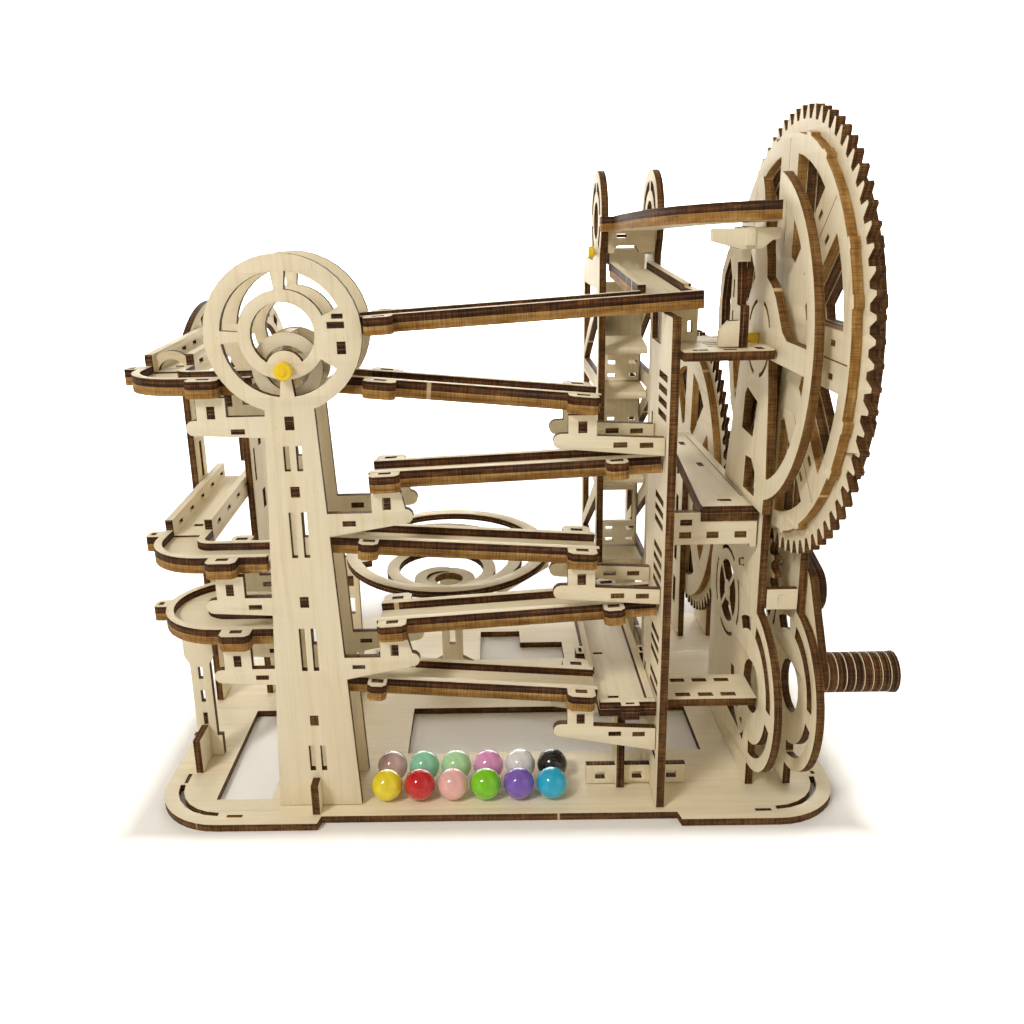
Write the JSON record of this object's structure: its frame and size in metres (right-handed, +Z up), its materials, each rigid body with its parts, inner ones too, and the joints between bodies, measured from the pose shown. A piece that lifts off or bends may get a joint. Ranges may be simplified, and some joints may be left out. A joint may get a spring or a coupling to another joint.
{
  "type": "marble run",
  "caption": "Hand-cranked laser-cut plywood marble run with a toothed lifting wheel, a zigzag of channels, side trays and a spiral funnel.",
  "frame": {"origin": "on the surface the base stands on, 131 mm in from the left edge of the base plate (close to the middle of its width), 100 mm behind its front edge", "axes": "+X to the right, towards the crank; +Y to the back; +Z up"},
  "size_m": [0.2796, 0.2893, 0.2527],
  "materials": {
    "birch_ply": "bare birch plywood, satin, with scorched laser-cut edges",
    "dark_ply": "scorched plywood edge, matt",
    "yellow_cap": "soft satin plastic"
  },
  "bodies": {
    "stand": {"arch_chute": "birch_ply", "arch_left": "birch_ply", "arch_right": "birch_ply", "arch_tie": "birch_ply", "base_cross": "birch_ply", "base_plate": "birch_ply", "beam_slotted": "birch_ply", "bracket_front_1": "birch_ply", "bracket_front_2": "birch_ply", "bracket_front_3": "birch_ply", "bracket_rear_1": "birch_ply", "bracket_rear_2": "birch_ply", "bracket_rear_3": "birch_ply", "channel_support": "birch_ply", "chute_post": "birch_ply", "funnel_bowl": "birch_ply", "funnel_post": "birch_ply", "funnel_stand": "birch_ply", "lift_bridge": "birch_ply", "lift_left_plate": "birch_ply", "lift_right_plate": "birch_ply", "lift_steps": "birch_ply", "ramp_middle": "birch_ply", "ramp_top": "birch_ply", "rear_post_inner": "birch_ply", "rear_post_outer": "birch_ply", "return_channel": "birch_ply", "shelf_lower": "birch_ply", "shelf_middle": "birch_ply", "shelf_top": "birch_ply", "side_leg": "birch_ply", "side_post": "birch_ply", "top_channel": "birch_ply", "tower_front_plate": "birch_ply", "tower_rear_plate": "birch_ply", "track_1": "birch_ply", "track_2": "birch_ply", "track_3": "birch_ply", "track_4": "birch_ply", "track_5": "birch_ply", "track_6": "birch_ply", "tray_bottom": "birch_ply", "tray_middle": "birch_ply", "tray_top": "birch_ply", "wheel_crescent": "birch_ply", "wheel_plate_inner": "birch_ply", "wheel_plate_outer": "birch_ply"},
    "wheel": {"wheel_teeth": "birch_ply", "wheel_face_inner": "birch_ply", "wheel_face_outer": "birch_ply", "wheel_axle": "dark_ply"},
    "crank": {"crank_pinion": "birch_ply", "crank_axle": "dark_ply", "crank_arm": "dark_ply", "grip_pin": "dark_ply"},
    "grip": {"crank_grip": "dark_ply"},
    "rear_gear": {"rear_wheel": "birch_ply"},
    "paddle": {"paddle_wheel": "birch_ply", "paddle_axle": "yellow_cap"},
    "tilt_flap": {"flap": "birch_ply"}
  },
  "joints": [
    {"name": "wheel_spin", "type": "hinge", "parent": "stand", "child": "wheel", "pos_m": [0.1069, -0.072, 0.1775], "axis": [1, 0, 0], "continuous": true},
    {"name": "crank_spin", "type": "hinge", "parent": "stand", "child": "crank", "pos_m": [0.1069, -0.058, 0.08918], "axis": [1, 0, 0], "continuous": true},
    {"name": "grip_spin", "type": "hinge", "parent": "crank", "child": "grip", "pos_m": [0.1218, -0.092, 0.0586], "axis": [1, 0, 0], "continuous": true},
    {"name": "rear_gear_spin", "type": "hinge", "parent": "stand", "child": "rear_gear", "pos_m": [0.1069, 0.07, 0.091], "axis": [1, 0, 0], "continuous": true},
    {"name": "paddle_spin", "type": "hinge", "parent": "stand", "child": "paddle", "pos_m": [-0.0657, -0.076, 0.1728], "axis": [0, 1, 0], "continuous": true},
    {"name": "flap_tilt", "type": "hinge", "parent": "stand", "child": "tilt_flap", "pos_m": [0.0649, 0.026, 0.2043], "axis": [1, 0, 0], "range_deg": [-22, 22]}
  ],
  "couplings": [
    {"joint": "crank_spin", "follows": "wheel_spin", "ratio": -4.5}
  ]
}
